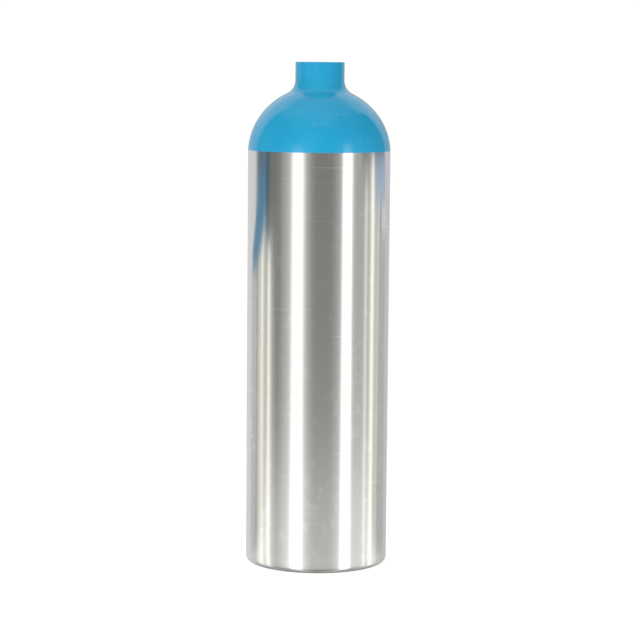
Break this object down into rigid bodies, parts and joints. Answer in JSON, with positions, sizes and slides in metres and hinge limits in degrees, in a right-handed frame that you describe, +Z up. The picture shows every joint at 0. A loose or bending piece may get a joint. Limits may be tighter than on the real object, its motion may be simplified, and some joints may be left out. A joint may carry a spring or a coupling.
{
  "type": "scuba cylinder",
  "caption": "Bare seamless aluminium scuba cylinder with a painted dome and neck, a flat base, and a screw plug with an O-ring sunk in the neck thread.",
  "frame": {"origin": "on the cylinder's axis, at the level of the base ring that it stands on", "axes": "+Z up along the cylinder's axis, towards the neck; +X to the right and +Y away from a viewer in front"},
  "size_m": [0.1846, 0.1846, 0.652],
  "materials": {
    "brushed_shell": "brushed round the axis",
    "crown_paint": "gloss blue powder coat",
    "plug_plastic": "moulded, matte black",
    "o_ring_rubber": "moulded nitrile rubber, matte black"
  },
  "bodies": {
    "cylinder": {"cylinder_shell": "brushed_shell", "crown_paint": "crown_paint"},
    "seal": {"plug_o_ring": "o_ring_rubber"},
    "plug": {"neck_plug": "plug_plastic"}
  },
  "joints": [
    {"name": "plug_lift", "type": "slide", "parent": "cylinder", "child": "seal", "axis": [0, 0, 1], "range_m": [0, 0.018]},
    {"name": "plug_turn", "type": "hinge", "parent": "seal", "child": "plug", "pos_m": [0, 0, 0.652], "axis": [0, 0, 1], "range_deg": [0, 3240]}
  ],
  "couplings": [
    {"joint": "plug_lift", "follows": "plug_turn", "m_per_rad": 0.00031831}
  ]
}
